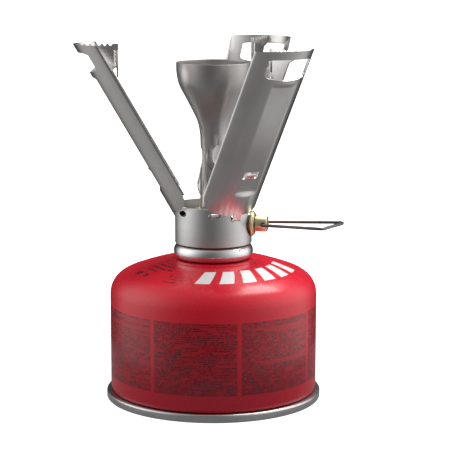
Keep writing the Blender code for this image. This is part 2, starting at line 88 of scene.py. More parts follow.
# ---------------------------------------------------------------- materials
class Shader:
    """A small builder for one node material."""

    def __init__(self, name, colour, roughness, metallic, frame=None):
        self.mat = bpy.data.materials.new(name)
        self.mat.use_nodes = True
        self.tree = self.mat.node_tree
        self.p = self.tree.nodes["Principled BSDF"]
        self.set("Base Color", (*colour, 1.0))
        self.set("Roughness", roughness)
        self.set("Metallic", metallic)
        self.coord = self.tree.nodes.new("ShaderNodeTexCoord").outputs["Object"]
        if frame is not None:
            # Every mesh is in the row frame, so this turns it to the piece's own axes.
            own = frame.inverted()
            node = self.tree.nodes.new("ShaderNodeMapping")
            node.vector_type = "POINT"
            node.inputs["Location"].default_value = own.to_translation()
            node.inputs["Rotation"].default_value = own.to_euler()
            self.tree.links.new(self.coord, node.inputs["Vector"])
            self.coord = node.outputs[0]
        self.normal = None

    def set(self, socket, value):
        if isinstance(value, bpy.types.NodeSocket):
            self.tree.links.new(value, self.p.inputs[socket])
        else:
            self.p.inputs[socket].default_value = value

    def plug(self, node, index, value):
        if isinstance(value, bpy.types.NodeSocket):
            self.tree.links.new(value, node.inputs[index])
        elif value is not None:
            node.inputs[index].default_value = value

    def math(self, op, a, b=None, c=None, clamp=False):
        node = self.tree.nodes.new("ShaderNodeMath")
        node.operation = op
        node.use_clamp = clamp
        for i, v in enumerate((a, b, c)):
            self.plug(node, i, v)
        return node.outputs[0]

    def xyz(self, vector=None):
        node = self.tree.nodes.new("ShaderNodeSeparateXYZ")
        self.plug(node, 0, vector or self.coord)
        return node.outputs

    def vector(self, x, y, z=0.0):
        node = self.tree.nodes.new("ShaderNodeCombineXYZ")
        for i, v in enumerate((x, y, z)):
            self.plug(node, i, v)
        return node.outputs[0]

    def scaled(self, sx, sy, sz, vector=None):
        x, y, z = self.xyz(vector)
        return self.vector(
            self.math("MULTIPLY", x, sx),
            self.math("MULTIPLY", y, sy),
            self.math("MULTIPLY", z, sz),
        )

    def noise(self, scale, detail=2.0, roughness=0.5, vector=None, distortion=0.0):
        node = self.tree.nodes.new("ShaderNodeTexNoise")
        self.plug(node, "Vector", vector or self.coord)
        node.inputs["Scale"].default_value = scale
        node.inputs["Detail"].default_value = detail
        node.inputs["Roughness"].default_value = roughness
        node.inputs["Distortion"].default_value = distortion
        return node.outputs["Fac"]

    def random(self, x, y, z=0.0):
        node = self.tree.nodes.new("ShaderNodeTexWhiteNoise")
        node.noise_dimensions = "3D"
        self.plug(node, "Vector", self.vector(x, y, z))
        return node.outputs["Value"]

    def ramp(self, value, *stops):
        """Map a value through linear stops of (position, value)."""
        node = self.tree.nodes.new("ShaderNodeValToRGB")
        self.plug(node, 0, value)
        while len(node.color_ramp.elements) < len(stops):
            node.color_ramp.elements.new(0.5)
        for element, (at, v) in zip(node.color_ramp.elements, stops):
            element.position = at
            element.color = (v, v, v, 1.0) if isinstance(v, (int, float)) else (*v, 1.0)
        return node.outputs["Color"]

    def mix(self, factor, a, b, kind="MIX"):
        node = self.tree.nodes.new("ShaderNodeMix")
        node.data_type = "RGBA"
        node.blend_type = kind
        self.plug(node, 0, factor)
        for index, v in ((6, a), (7, b)):
            if isinstance(v, tuple):
                v = (*v, 1.0)
            self.plug(node, index, v)
        return node.outputs[2]

    def bump(self, height, distance, strength=1.0):
        node = self.tree.nodes.new("ShaderNodeBump")
        node.inputs["Distance"].default_value = distance
        node.inputs["Strength"].default_value = strength
        self.plug(node, "Height", height)
        if self.normal is not None:
            self.plug(node, "Normal", self.normal)
        self.normal = node.outputs["Normal"]
        self.set("Normal", self.normal)

    def between(self, value, low, high, soft=0.0):
        """1 between low and high, else 0."""
        if soft:
            a = self.tree.nodes.new("ShaderNodeMapRange")
            self.plug(a, 0, value)
            a.inputs[1].default_value, a.inputs[2].default_value = low - soft, low + soft
            b = self.tree.nodes.new("ShaderNodeMapRange")
            self.plug(b, 0, value)
            b.inputs[1].default_value, b.inputs[2].default_value = high + soft, high - soft
            return self.math("MULTIPLY", a.outputs[0], b.outputs[0])
        return self.math(
            "MULTIPLY",
            self.math("GREATER_THAN", value, low),
            self.math("LESS_THAN", value, high),
        )


def around(s):
    """Angle from the front, in degrees, with its break at the back; radius; height, in mm."""
    x, y, z = s.xyz()
    angle = s.math("MULTIPLY", s.math("ARCTAN2", x, s.math("MULTIPLY", y, -1.0)), 180 / math.pi)
    radius = s.math(
        "MULTIPLY",
        s.math("SQRT", s.math("ADD", s.math("MULTIPLY", x, x), s.math("MULTIPLY", y, y))),
        1000.0,
    )
    return angle, radius, s.math("MULTIPLY", z, 1000.0)


def turned_lines(s, across=900.0, depth=2e-6, tint=None, amount=0.05):
    """Fine rings left by turning or spinning, about the local Z axis."""
    angle, radius, z = around(s)
    lines = s.noise(
        1.0,
        3.0,
        0.6,
        s.vector(s.math("MULTIPLY", angle, 0.02), s.math("MULTIPLY", z, across / 100), s.math("MULTIPLY", radius, across / 100)),
    )
    s.bump(lines, depth)
    return lines


def red_enamel():
    s = Shader("red_enamel", (0.5, 0.01, 0.02), 0.3, 0.0)
    angle, radius, z = around(s)
    broad = s.noise(38.0, 2.0, 0.5)
    red = s.mix(broad, (0.72, 0.008, 0.025), (0.8, 0.012, 0.036))
    # Painted shade: the red darkens towards the bottom of the wall, standing in for the floor's shade there.
    low = s.ramp(s.math("DIVIDE", z, 60.0), (0.15, 1.0), (0.72, 0.0))
    red = s.mix(s.math("MULTIPLY", low, 0.6), red, (0.34, 0.006, 0.02))

    # Printed band: panels of fine broken rows, without any lettering.
    turn = s.math("DIVIDE", s.math("ADD", angle, 34.8), 48.6)
    panel = s.math("FLOOR", turn)
    inside = s.math("MULTIPLY", s.math("SUBTRACT", turn, panel), 48.6 * CAN_R * math.pi / 180)
    width = 48.6 * CAN_R * math.pi / 180
    in_panel = s.between(inside, 0.95, width - 0.75)
    pitch = 0.9
    line = s.math("DIVIDE", s.math("SUBTRACT", 40.6, z), pitch)
    row = s.math("FLOOR", line)
    part = s.math("FRACT", line)
    in_row = s.between(part, 0.2, 0.8, 0.06)
    dice = s.random(row, panel, 1.5)
    start = s.math("MULTIPLY", dice, 3.0)
    cell = s.math("FLOOR", s.math("DIVIDE", s.math("ADD", inside, start), 0.36))
    mark = s.math("GREATER_THAN", s.random(cell, row, panel), 0.3)
    word = s.math("FLOOR", s.math("DIVIDE", s.math("ADD", inside, s.math("MULTIPLY", dice, 9.0)), 2.9))
    said = s.math("GREATER_THAN", s.random(word, row, s.math("ADD", panel, 40.0)), 0.1)
    # Some rows stop short, as the ends of paragraphs do.
    short = s.math("LESS_THAN", s.random(row, panel, 7.5), 0.16)
    stop = s.math("MULTIPLY", s.random(row, panel, 9.5), width)
    ended = s.math("MULTIPLY", short, s.math("GREATER_THAN", inside, stop))
    ink = s.math("MULTIPLY", in_panel, in_row)
    ink = s.math("MULTIPLY", ink, mark)
    ink = s.math("MULTIPLY", ink, said)
    ink = s.math("MULTIPLY", ink, s.math("SUBTRACT", 1.0, ended))
    ink = s.math("MULTIPLY", ink, s.between(z, 10.6, 40.5))
    heavy = s.math("GREATER_THAN", s.random(s.math("FLOOR", s.math("DIVIDE", inside, 7.5)), s.math("FLOOR", s.math("DIVIDE", row, 2.0)), panel), 0.88)
    weight = s.math("ADD", 0.74, s.math("MULTIPLY", heavy, 0.22))
    wash = s.math("MULTIPLY", s.math("MULTIPLY", in_panel, s.between(z, 10.6, 40.5)), 0.34)
    red = s.mix(wash, red, (0.06, 0.01, 0.014))
    red = s.mix(s.math("MULTIPLY", ink, weight), red, (0.035, 0.012, 0.014))

    # Small dark arcs and ticks on the left of the shoulder.
    arcs = None
    for low, high, start_at, stop_at in (
        (20.4, 21.3, -66, -46),
        (23.0, 24.1, -70, -42),
        (25.8, 26.9, -72, -40),
        (28.4, 29.3, -69, -52),
        (31.9, 34.3, -71, -64),
        (31.9, 34.3, -59, -55),
        (29.0, 31.0, -35.5, -33.6),
        (30.2, 30.7, -31, -21),
        (32.4, 32.9, -35, -21),
        (34.5, 35.0, -36, -21.5),
    ):
        one = s.math("MULTIPLY", s.between(radius, low, high, 0.12), s.between(angle, start_at, stop_at, 0.3))
        arcs = one if arcs is None else s.math("MAXIMUM", arcs, one)
    broken = s.math("GREATER_THAN", s.random(s.math("FLOOR", s.math("MULTIPLY", angle, 0.9)), s.math("FLOOR", radius), 3.5), 0.18)
    above = s.math("GREATER_THAN", z, 50.0)
    arcs = s.math("MULTIPLY", s.math("MULTIPLY", arcs, broken), above)
    red = s.mix(s.math("MULTIPLY", arcs, 0.82), red, (0.03, 0.008, 0.01))

    # White graphic on the front of the shoulder: a fan of plain slanted bars.
    lean = s.math("ADD", angle, s.math("MULTIPLY", s.math("SUBTRACT", radius, 30.0), 0.55))
    fan = s.math("DIVIDE", s.math("ADD", lean, 13.0), 16.8)
    bar = s.between(s.math("FRACT", fan), 0.14, 0.76, 0.012)
    white = s.math("MULTIPLY", s.between(radius, 24.8, 34.3, 0.1), s.between(lean, -13.0, 88.0, 0.1))
    white = s.math("MULTIPLY", s.math("MULTIPLY", white, bar), above)
    red = s.mix(white, red, (0.93, 0.92, 0.92))
    s.set("Base Color", red)

    rub = s.noise(260.0, 3.0, 0.6)
    s.set("Roughness", s.ramp(rub, (0.3, 0.24), (0.7, 0.3)))
    s.bump(s.noise(500.0, 2.0, 0.5), 2e-6, 0.5)
    s.bump(s.math("ADD", ink, white), 1.2e-5, 0.4)
    s.p.inputs["Specular IOR Level"].default_value = 0.5
    return s.mat


def metal(name, dark, light, rough, ring=None, grain=None, blotch=60.0, depth=3e-6, spot=0.0, frame=None):
    """Bare metal: colour drift, a brushed or turned grain, and small rubs."""
    s = Shader(name, light, rough, 1.0, frame)
    drift = s.noise(blotch, 3.0, 0.55)
    colour = s.mix(s.ramp(drift, (0.3, 0.0), (0.7, 1.0)), dark, light)
    if ring:
        angle, radius, z = around(s)
        lines = s.noise(
            1.0, 3.0, 0.65,
            s.vector(s.math("MULTIPLY", angle, 0.015), s.math("MULTIPLY", z, ring), s.math("MULTIPLY", radius, ring)),
        )
    else:
        lines = s.noise(1.0, 3.0, 0.65, s.scaled(*(grain or (300.0, 300.0, 300.0))))
    colour = s.mix(s.math("MULTIPLY", lines, 0.35), colour, tuple(v * 0.72 for v in dark))
    if spot:
        spots = s.ramp(s.noise(900.0, 2.0, 0.6), (0.66, 0.0), (0.72, 1.0))
        colour = s.mix(s.math("MULTIPLY", spots, spot), colour, tuple(v * 0.45 for v in dark))
    s.set("Base Color", colour)
    s.set("Roughness", s.math("ADD", rough - 0.08, s.math("MULTIPLY", s.math("ADD", lines, drift), 0.09)))
    s.bump(lines, depth)
    return s.mat


def plain(name, colour, rough, grain=500.0, depth=1e-5):
    s = Shader(name, colour, rough, 0.0)
    n = s.noise(grain, 3.0, 0.6)
    s.set("Base Color", s.mix(n, tuple(v * 0.75 for v in colour), tuple(min(1, v * 1.2) for v in colour)))
    s.set("Roughness", s.ramp(n, (0.2, rough - 0.08), (0.8, rough + 0.1)))
    s.bump(n, depth)
    return s.mat


RED = red_enamel()
RIM = metal("seamed_steel", (0.52, 0.515, 0.51), (0.66, 0.655, 0.65), 0.27, ring=2.0, spot=0.25)
TIN = metal("tinned_bead", (0.66, 0.66, 0.66), (0.78, 0.78, 0.78), 0.22, ring=2.5, depth=1.5e-6)
ALLOY = metal("satin_alloy", (0.56, 0.557, 0.552), (0.66, 0.657, 0.652), 0.37, ring=4.0, depth=2.5e-6)
SHEET = metal("mesh_steel", (0.4, 0.385, 0.375), (0.5, 0.485, 0.475), 0.34, grain=(900.0, 900.0, 40.0), blotch=45.0, spot=0.15)
HORN = metal("spun_horn", (0.42, 0.402, 0.39), (0.54, 0.523, 0.513), 0.41, ring=3.0, blotch=70.0)
WIRE = metal("polished_wire", (0.17, 0.163, 0.158), (0.25, 0.242, 0.238), 0.3, grain=(400.0, 400.0, 400.0))
SPRING = metal("spring_wire", (0.3, 0.3, 0.3), (0.4, 0.4, 0.4), 0.25)
RUBBER = plain("black_rubber", (0.025, 0.025, 0.025), 0.6)
PLASTIC = plain("valve_plastic", (0.7, 0.68, 0.62), 0.45)


def pin_steel_painted_shade(name, place):
    """Satin pin, with painted shade: its recessed end is near black, standing in for the shadow in its hole."""
    s = Shader(name, (0.5, 0.5, 0.5), 0.3, 1.0, place)
    x, y, z = s.xyz()
    lines = s.noise(700.0, 3.0, 0.6)
    bare = s.mix(lines, (0.28, 0.277, 0.273), (0.38, 0.377, 0.373))
    # Painted shade: near black on the recessed end, past 7.4 mm along the pin, for the shadow in the hole.
    s.set("Base Color", s.mix(s.math("GREATER_THAN", z, 0.0074), bare, (0.02, 0.02, 0.02)))
    s.set("Roughness", s.ramp(lines, (0.3, 0.28), (0.7, 0.4)))
    s.bump(lines, 3e-6)
    return s.mat


# ------------------------------------------------------------------ helpers
def link(name, mesh, material, matrix=None):
    obj = bpy.data.objects.new(name, mesh)
    bpy.context.scene.collection.objects.link(obj)
    if material:
        mesh.materials.clear()
        mesh.materials.append(material)
    if matrix is not None:
        mesh.transform(matrix)
    return obj


def finish_mesh(name, bm, material, matrix=None, sharp=30.0):
    bmesh.ops.remove_doubles(bm, verts=bm.verts, dist=1e-5)
    bmesh.ops.recalc_face_normals(bm, faces=bm.faces)
    bmesh.ops.scale(bm, vec=(MM, MM, MM), verts=bm.verts)
    mesh = bpy.data.meshes.new(name)
    bm.to_mesh(mesh)
    bm.free()
    mesh.shade_smooth()
    mesh.set_sharp_from_angle(angle=math.radians(sharp))
    return link(name, mesh, material, matrix)


def turned(name, profile, material, segments=128, closed=True, matrix=None, sharp=30.0):
    bm = bmesh.new()
    verts = [bm.verts.new((r, 0.0, z)) for r, z in profile]
    edges = [bm.edges.new(pair) for pair in zip(verts, verts[1:])]
    if closed:
        edges.append(bm.edges.new((verts[-1], verts[0])))
    bmesh.ops.spin(bm, geom=verts + edges, cent=(0, 0, 0), axis=(0, 0, 1), angle=2 * math.pi, steps=segments, use_merge=True)
    return finish_mesh(name, bm, material, matrix, sharp)


def prism(name, outline, low, high, material, plane="XZ", matrix=None, sharp=30.0):
    order = {"XZ": lambda a, b, c: (a, c, b), "YZ": lambda a, b, c: (c, a, b)}[plane]
    bm = bmesh.new()
    face = bm.faces.new([bm.verts.new(order(a, b, low)) for a, b in outline])
    moved = bmesh.ops.extrude_face_region(bm, geom=[face])
    verts = [v for v in moved["geom"] if isinstance(v, bmesh.types.BMVert)]
    bmesh.ops.translate(bm, vec=order(0, 0, high - low), verts=verts)
    return finish_mesh(name, bm, material, matrix, sharp)


def rod(name, radius, low, high, sides=32, matrix=None):
    return turned(name, [(0, low), (radius, low), (radius, high), (0, high)], None, sides, False, matrix)


def arc(cx, cz, radius, start, stop, steps):
    turns = [math.radians(start + (stop - start) * i / steps) for i in range(steps + 1)]
    return [(cx + radius * math.cos(a), cz + radius * math.sin(a)) for a in turns]


def smooth(points, per=6):
    """A Catmull-Rom curve through profile points."""
    out = []
    n = len(points)
    for i in range(n - 1):
        p0, p1, p2 = points[max(i - 1, 0)], points[i], points[i + 1]
        p3 = points[min(i + 2, n - 1)]
        for k in range(per):
            t = k / per
            out.append(
                tuple(
                    0.5 * (2 * b + (c - a) * t + (2 * a - 5 * b + 4 * c - d) * t * t + (3 * b - a - 3 * c + d) * t**3)
                    for a, b, c, d in zip(p0, p1, p2, p3)
                )
            )
    out.append(points[-1])
    return out


def shape(target, tools):
    """Cut or join a list of (tool, operation), bake the result and drop the tools."""
    for tool, operation in tools:
        change = target.modifiers.new(tool.name, "BOOLEAN")
        change.operation = operation
        change.solver = "EXACT"
        change.object = tool
    return bake(target, [t for t, _ in tools])


def bake(target, drop=(), sharp=30.0):
    graph = bpy.context.evaluated_depsgraph_get()
    graph.update()
    made = bpy.data.meshes.new_from_object(target.evaluated_get(graph))
    old = target.data
    materials = list(old.materials)
    target.modifiers.clear()
    target.data = made
    made.materials.clear()
    for m in materials:
        made.materials.append(m)
    made.polygons.foreach_set("material_index", [0] * len(made.polygons))
    made.shade_smooth()
    made.set_sharp_from_angle(angle=math.radians(sharp))
    for tool in drop:
        bpy.data.objects.remove(tool, do_unlink=True)
    return target


def bevelled(target, width, segments=2, angle=35.0):
    change = target.modifiers.new("edges", "BEVEL")
    change.width = width * MM
    change.segments = segments
    change.limit_method = "ANGLE"
    change.angle_limit = math.radians(angle)
    change.harden_normals = False
    return bake(target)


def wire(name, points, radius, material, matrix=None, sides=4, steps=1):
    curve = bpy.data.curves.new(name, "CURVE")
    curve.dimensions = "3D"
    curve.bevel_depth = radius * MM
    curve.bevel_resolution = sides
    curve.use_fill_caps = True
    spline = curve.splines.new("POLY")
    spline.points.add(len(points) - 1)
    for spot, p in zip(spline.points, points):
        spot.co = (p[0] * MM, p[1] * MM, p[2] * MM, 1.0)
    spline.use_smooth = True
    obj = bpy.data.objects.new(name, curve)
    bpy.context.scene.collection.objects.link(obj)
    graph = bpy.context.evaluated_depsgraph_get()
    mesh = bpy.data.meshes.new_from_object(obj.evaluated_get(graph))
    bpy.data.objects.remove(obj, do_unlink=True)
    mesh.shade_smooth()
    mesh.set_sharp_from_angle(angle=math.radians(40))
    return link(name, mesh, material, matrix)


def along_valve():
    outward = Vector((math.cos(math.radians(VALVE_AZ)), math.sin(math.radians(VALVE_AZ)), 0))
    up = Vector((0, 0, 1))
    across = up.cross(outward)
    basis = Matrix((across, up, outward)).transposed().to_4x4()
    basis.translation = Vector((0, 0, VALVE_Z * MM))
    return basis


def at_hinge(azimuth, tilt=0.0):
    turn = Matrix.Rotation(math.radians(azimuth), 4, "Z")
    place = Matrix.Translation((HINGE_R * MM, 0, HINGE_Z * MM))
    return turn @ place @ Matrix.Rotation(math.radians(tilt), 4, "Y")


def open_to_leg(u, z):
    t = math.radians(OPEN_TILT)
    du, dz = u - HINGE_R, z - HINGE_Z
    return (du * math.cos(t) - dz * math.sin(t), du * math.sin(t) + dz * math.cos(t))


def leg_top(x):
    t = math.radians(OPEN_TILT)
    return ((OPEN_TOP - HINGE_Z) + x * math.sin(t)) / math.cos(t)


BRASS = metal("turned_brass", (0.72, 0.63, 0.36), (0.92, 0.83, 0.54), 0.33, ring=5.0, depth=3e-6, spot=0.2, frame=along_valve())


# --------------------------------------------------------------- the pieces
def canister():
    shoulder = smooth(
        [
            (CAN_R, 41.0),
            (CAN_R, 43.9),
            (43.21, 46.6),
            (42.34, 49.05),
            (40.63, 51.45),
            (37.65, 53.6),
            (33.0, 55.4),
            (30.0, 56.4),
            (26.5, 57.5),
            (23.0, 58.3),
            (20.2, 58.7),
            (18.4, 58.85),
            (17.1, 59.2),
        ],
        6,
    )
    outside = [(43.0, 3.95), (43.05, 4.3), (43.25, 4.8), (CAN_R, 5.5), (CAN_R, 22.0)]
    inside = [(12.6, 59.2), (12.6, 58.6), (17.2, 58.5), (20.2, 58.1), (26.2, 56.95), (32.8, 54.85), (37.3, 53.0), (41.0, 50.1), (42.85, 43.9), (42.9, 6.0), (42.5, 3.95)]
    shell = turned("enamel_shell", outside + shoulder + inside, RED, 192)
    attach(shell, "canister")
    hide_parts("canister_body")

    rim = [(42.6, 0.0), (44.3, 0.0)] + arc(44.34, 0.9, 0.9, -80, 0, 6) + arc(44.34, 2.7, 0.9, 0, 85, 8)
    rim += [(43.4, 3.6), (42.5, 3.6), (41.6, 3.2)]
    top = smooth([(41.6, 3.2), (38.0, 6.4), (27.0, 10.8), (12.0, 12.7), (0, 13.1)], 6)[1:]
    low = smooth([(0, 12.5), (12.0, 12.1), (27.0, 10.2), (38.2, 5.3), (41.6, 1.2)], 6)
    base = turned("seamed_base", low + rim + top, RIM, 192, closed=False)
    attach(base, "canister")
    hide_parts("canister_base")

    mid, half = (BEAD_LOW + BEAD_TOP) / 2, (BEAD_TOP - BEAD_LOW) / 2
    bead = [(BEAD_R - BEAD_HALF_WIDTH + BEAD_HALF_WIDTH * x, mid + half * z) for x, z in arc(0, 0, 1.0, -85, 150, 30)]
    dish = [(11.4, 61.2), (11.0, 60.5), (10.6, 60.2), (6.4, 60.2), (5.75, 60.4), (5.55, 61.0)]
    dish += [(5.55, 69.1), (5.2, 69.5), (4.2, 69.5), (4.2, 59.6), (11.2, 59.6), (12.0, 60.3)]
    cup = turned("crimped_bead", bead + dish, TIN, 128)
    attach(cup, "canister")
    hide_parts("valve_cup")


def stove_cup():
    inner = CUP_R - CUP_WALL
    profile = [(CUP_R - 0.3, CUP_LOW)]
    profile += arc(CUP_R - 0.25, CUP_LOW + 0.25, 0.25, -60, 0, 3)
    profile += [(CUP_R, CUP_LOW + 8.0)]
    profile += arc(CUP_R - 0.4, CUP_TOP - 0.4, 0.4, 0, 90, 6)
    profile += arc(inner + 0.25, CUP_TOP - 0.25, 0.25, 90, 180, 4)
    profile += [(inner, CUP_FLOOR + 1.2), (inner - 0.4, CUP_FLOOR + 0.8), (8.8, CUP_FLOOR + 0.8), (8.8, CUP_FLOOR), (inner, CUP_FLOOR), (inner, CUP_LOW)]
    cup = turned("satin_cup", profile, ALLOY, 160)
    tools = []
    for key, azimuth in SUPPORTS.items():
        tools.append((prism(f"t_notch_{key}", [(-0.6, -2.6), (4.0, -2.6), (4.0, 4.0), (-0.6, 4.0)], -2.4, 2.4, None, matrix=at_hinge(azimuth)), "DIFFERENCE"))
        tools.append((rod(f"t_hole_{key}", PIN_R + GAP, -11, 11, 28, at_hinge(azimuth) @ Matrix.Rotation(math.radians(-90), 4, "X")), "DIFFERENCE"))
    tools.append((rod("t_gland", 4.2, 12.0, 18.0, 40, along_valve()), "DIFFERENCE"))
    shape(cup, tools)
    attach(cup, "stove")
    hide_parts("stove_base")


def control_valve():
    place = along_valve()
    gland = turned(
        "brass_gland",
        [(1.75, 6.3), (3.7, 6.3), (3.7, 16.45), (5.2, 16.45), (5.35, 16.6), (5.35, 16.9), (5.2, 17.05), (4.75, 17.15), (4.7, 17.45), (4.5, 17.65), (1.75, 17.65), (1.75, 14.0), (2.75, 14.0), (2.75, 11.6), (1.75, 11.6)],
        BRASS, 64, matrix=place,
    )
    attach(gland, "stove")
    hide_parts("gland")
    spindle = turned(
        "brass_spindle",
        [(0, 3.4), (0.3, 3.4), (1.3, 5.2), (1.3, HEAD_NEAR), (HEAD_R - 0.3, HEAD_NEAR), (HEAD_R, HEAD_NEAR + 0.3), (HEAD_R, HEAD_FAR - 0.5), (HEAD_R - 0.12, HEAD_FAR - 0.2), (HEAD_R - 0.45, HEAD_FAR), (0, HEAD_FAR)],
        BRASS, 64, closed=False, matrix=place,
    )
    hole = rod("t_cross", WIRE_R + GAP, -6, 6, 32, place @ Matrix.Translation((0, 0, CROSS_HOLE_AT * MM)) @ Matrix.Rotation(math.radians(90), 4, "Y"))
    shape(spindle, [(hole, "DIFFERENCE")])
    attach(spindle, "spindle")
    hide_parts("control_spindle")

    corners = [(0.35, 0.0, 0.0), (4.45, 0.0, 0.9), (9.6, 33.4, 2.2), (-8.6, 25.7, 2.2), (-4.45, 0.0, 0.9), (-0.35, 0.0, 0.0)]
    path = []
    for i, (x, s, radius) in enumerate(corners):
        here = Vector((x, 0, s))
        if radius == 0:
            path.append(here)
            continue
        before = (Vector((corners[i - 1][0], 0, corners[i - 1][1])) - here).normalized()
        after = (Vector((corners[i + 1][0], 0, corners[i + 1][1])) - here).normalized()
        half = before.angle(after) / 2
        back = radius / math.tan(half)
        start, stop = here + before * back, here + after * back
        centre = here + (before + after).normalized() * (radius / math.sin(half))
        a, b = start - centre, stop - centre
        whole = a.angle(b)
        for k in range(13):
            w = k / 12
            path.append(centre + (a * math.sin((1 - w) * whole) + b * math.sin(w * whole)) / math.sin(whole))
    loop = wire("wire_loop", path, WIRE_R, WIRE, place @ Matrix.Translation((0, 0, CROSS_HOLE_AT * MM)), sides=6)
    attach(loop, "handle")
    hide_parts("control_handle")


def burner():
    w = HORN_WALL
    shape_points = [(5.52, HORN_LOW), (5.52, 88.0), (5.42, 100.6), (5.41, 105.7), (5.53, 110.7), (5.82, 113.2), (6.31, 115.7), (7.14, 118.2), (8.34, 120.7), (9.62, 123.2), (10.94, 125.7), (12.26, 128.2), (13.6, 130.65), (14.55, 133.1), (15.1, 135.6), (15.4, 138.1), (15.44, HORN_TOP)]
    outside = smooth(shape_points, 5)
    inside = [(r - w, z + 0.25 if 118 < z < 132 else z) for r, z in smooth(shape_points, 3)][::-1]
    horn = turned("spun_burner_horn", outside[:-1] + arc(15.44 - 0.16, HORN_TOP - 0.16, 0.16, 0, 90, 3) + arc(15.44 - w + 0.16, HORN_TOP - 0.16, 0.16, 90, 180, 3) + inside[1:], HORN, 128)
    tools = []
    for n, azimuth in enumerate(SLOT_AZIMUTHS):
        r = SLOT_HALF
        outline = arc(0, SLOT_LOW + r, r, 180, 360, 18) + arc(0, SLOT_TOP - r, r, 0, 180, 18)
        tools.append((prism(f"t_slot_{n}", outline, 1.5, 8.0, None, "YZ", Matrix.Rotation(math.radians(azimuth), 4, "Z")), "DIFFERENCE"))
    shape(horn, tools)
    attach(horn, "stove")
    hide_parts("burner_horn")

    top = smooth([(14.4, 137.45), (13.9, 137.7), (10.0, 135.6), (5.9, 134.3), (0, 133.75)], 4)
    low = smooth([(0, 133.05), (5.9, 133.6), (10.0, 134.9), (14.4, 137.3)], 4)
    head = turned("ported_head", low + top, HORN, 96, closed=False)
    tools = []
    for ring, (radius, count, port) in enumerate(((2.2, 6, 0.55), (4.6, 12, 0.6), (7.2, 18, 0.6), (9.9, 24, 0.65), (12.2, 30, 0.5))):
        for k in range(count):
            a = 2 * math.pi * (k + 0.5 * (ring % 2)) / count
            tools.append((rod(f"t_port_{ring}_{k}", port, 131.0, 139.0, 12, Matrix.Translation((radius * math.cos(a) * MM, radius * math.sin(a) * MM, 0))), "DIFFERENCE"))
    merged = join([t for t, _ in tools], "t_ports")
    shape(head, [(merged, "DIFFERENCE")])
    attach(head, "stove")
    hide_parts("burner_head")


def join(objects, name):
    bm = bmesh.new()
    for o in objects:
        part = o.data.copy()
        bm.from_mesh(part)
        bpy.data.meshes.remove(part)
        bpy.data.objects.remove(o, do_unlink=True)
    mesh = bpy.data.meshes.new(name)
    bm.to_mesh(mesh)
    bm.free()
    return link(name, mesh, None)


